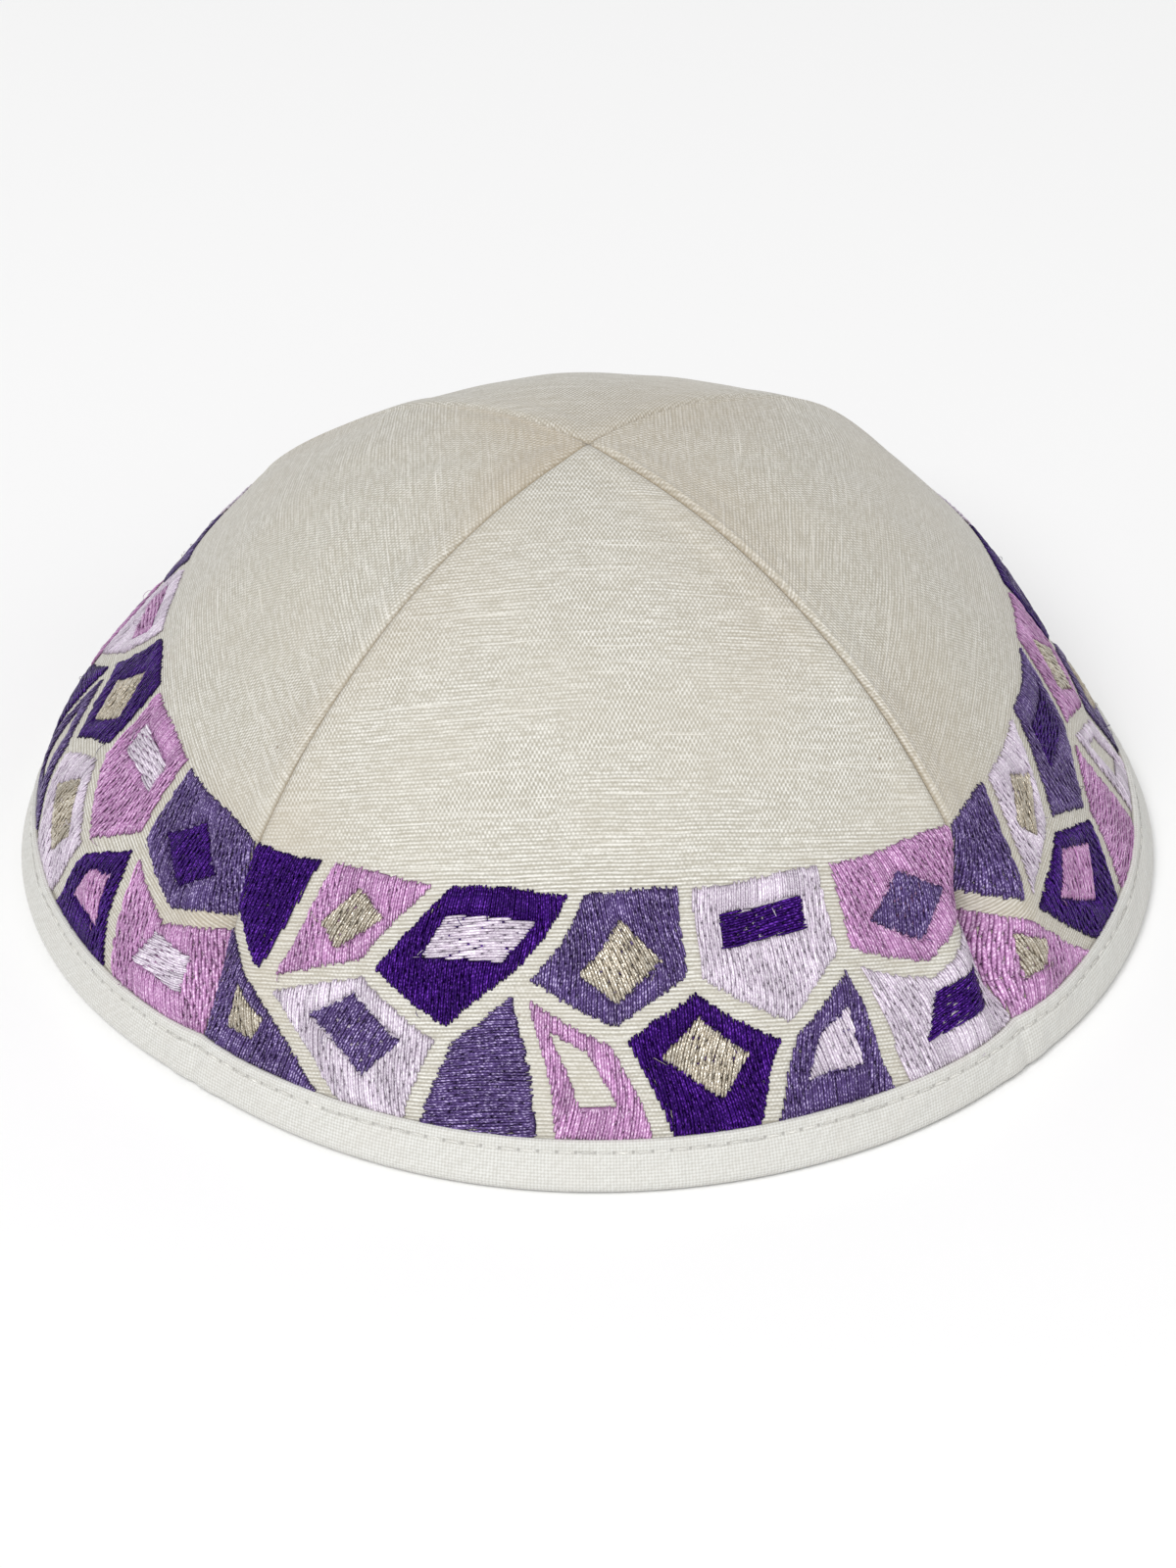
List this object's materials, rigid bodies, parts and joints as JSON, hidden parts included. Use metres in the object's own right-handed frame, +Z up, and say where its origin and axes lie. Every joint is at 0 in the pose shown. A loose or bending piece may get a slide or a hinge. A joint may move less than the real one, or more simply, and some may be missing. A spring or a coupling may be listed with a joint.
{
  "type": "kippah",
  "caption": "Four-gore skullcap of cream raw silk with a band of embroidered mosaic patches in violet threads above a folded bias binding.",
  "frame": {"origin": "centre of the rim, on the surface that the cap stands on", "axes": "+Z up through the crown where the seams cross, -Y out of the middle of the front gore, +X out of the middle of the right gore"},
  "size_m": [0.1726, 0.1724, 0.07],
  "materials": {
    "silk": "cream raw silk with fine cross ribs and slubs, soft satin sheen",
    "binding_tape": "off-white bias tape, fine plain weave, matte",
    "topstitch": "off-white sewing thread",
    "thread_violet": "deep violet embroidery thread, satin",
    "thread_slate": "slate purple embroidery thread, satin",
    "thread_orchid": "orchid pink embroidery thread, satin",
    "thread_lilac": "pale lilac embroidery thread, satin",
    "thread_metal": "silver-gold metallic embroidery thread, glinting"
  },
  "bodies": {
    "root": {"rim_binding": "binding_tape", "front_gore": "silk", "front_patch_upper_1": "thread_violet", "front_patch_upper_2": "thread_orchid", "front_patch_upper_3": "thread_violet", "front_patch_upper_4": "thread_slate", "front_patch_upper_5": "thread_lilac", "front_patch_upper_6": "thread_orchid", "front_patch_lower_1": "thread_slate", "front_patch_lower_2": "thread_lilac", "front_patch_lower_3": "thread_slate", "front_patch_lower_4": "thread_orchid", "front_patch_lower_5": "thread_violet", "front_patch_lower_6": "thread_slate", "front_patch_lower_7": "thread_lilac", "right_gore": "silk", "right_patch_upper_1": "thread_slate", "right_patch_upper_2": "thread_lilac", "right_patch_upper_3": "thread_slate", "right_patch_upper_4": "thread_orchid", "right_patch_upper_5": "thread_violet", "right_patch_upper_6": "thread_lilac", "right_patch_lower_1": "thread_orchid", "right_patch_lower_2": "thread_violet", "right_patch_lower_3": "thread_orchid", "right_patch_lower_4": "thread_lilac", "right_patch_lower_5": "thread_slate", "right_patch_lower_6": "thread_orchid", "right_patch_lower_7": "thread_violet", "back_gore": "silk", "back_patch_upper_1": "thread_orchid", "back_patch_upper_2": "thread_violet", "back_patch_upper_3": "thread_orchid", "back_patch_upper_4": "thread_lilac", "back_patch_upper_5": "thread_slate", "back_patch_upper_6": "thread_violet", "back_patch_lower_1": "thread_lilac", "back_patch_lower_2": "thread_slate", "back_patch_lower_3": "thread_lilac", "back_patch_lower_4": "thread_violet", "back_patch_lower_5": "thread_orchid", "back_patch_lower_6": "thread_lilac", "back_patch_lower_7": "thread_slate", "left_gore": "silk", "left_patch_upper_1": "thread_lilac", "left_patch_upper_2": "thread_slate", "left_patch_upper_3": "thread_lilac", "left_patch_upper_4": "thread_violet", "left_patch_upper_5": "thread_orchid", "left_patch_upper_6": "thread_slate", "left_patch_lower_1": "thread_violet", "left_patch_lower_2": "thread_orchid", "left_patch_lower_3": "thread_violet", "left_patch_lower_4": "thread_slate", "left_patch_lower_5": "thread_lilac", "left_patch_lower_6": "thread_violet", "left_patch_lower_7": "thread_orchid"}
  },
  "joints": []
}
